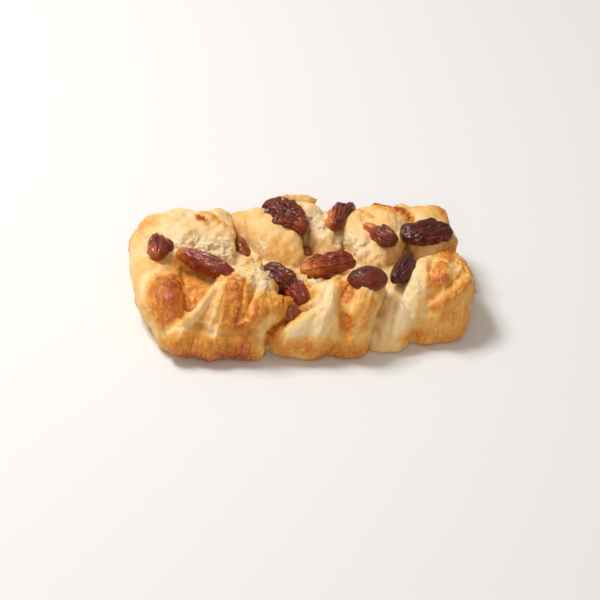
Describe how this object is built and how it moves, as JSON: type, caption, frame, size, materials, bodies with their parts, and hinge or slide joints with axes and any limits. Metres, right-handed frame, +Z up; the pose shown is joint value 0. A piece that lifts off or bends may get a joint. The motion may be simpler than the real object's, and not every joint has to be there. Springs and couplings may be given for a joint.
{
  "type": "maple pecan plait",
  "caption": "Flaky plaited pastry with side strips folded over a sticky brown filling, topped with glazed pecan pieces, resting on its flat underside.",
  "frame": {"origin": "middle of the bounding box in plan, on the flat underside", "axes": "+X along the plait towards the end that its strips lean to, -Y the near side in the picture, +Z up"},
  "size_m": [0.1392, 0.083, 0.0334],
  "materials": {
    "dough": "baked laminated dough, pale in the valleys and golden brown on the ridges, thinly glazed",
    "filling": "sticky brown filling, glossy",
    "pecan": "dark roasted nut under a clear glaze"
  },
  "bodies": {
    "root": {"dough": "dough", "filling": "filling", "pecan_01": "pecan", "pecan_02": "pecan", "pecan_03": "pecan", "pecan_04": "pecan", "pecan_05": "pecan", "pecan_06": "pecan", "pecan_07": "pecan", "pecan_08": "pecan", "pecan_09": "pecan", "pecan_10": "pecan"}
  },
  "joints": []
}
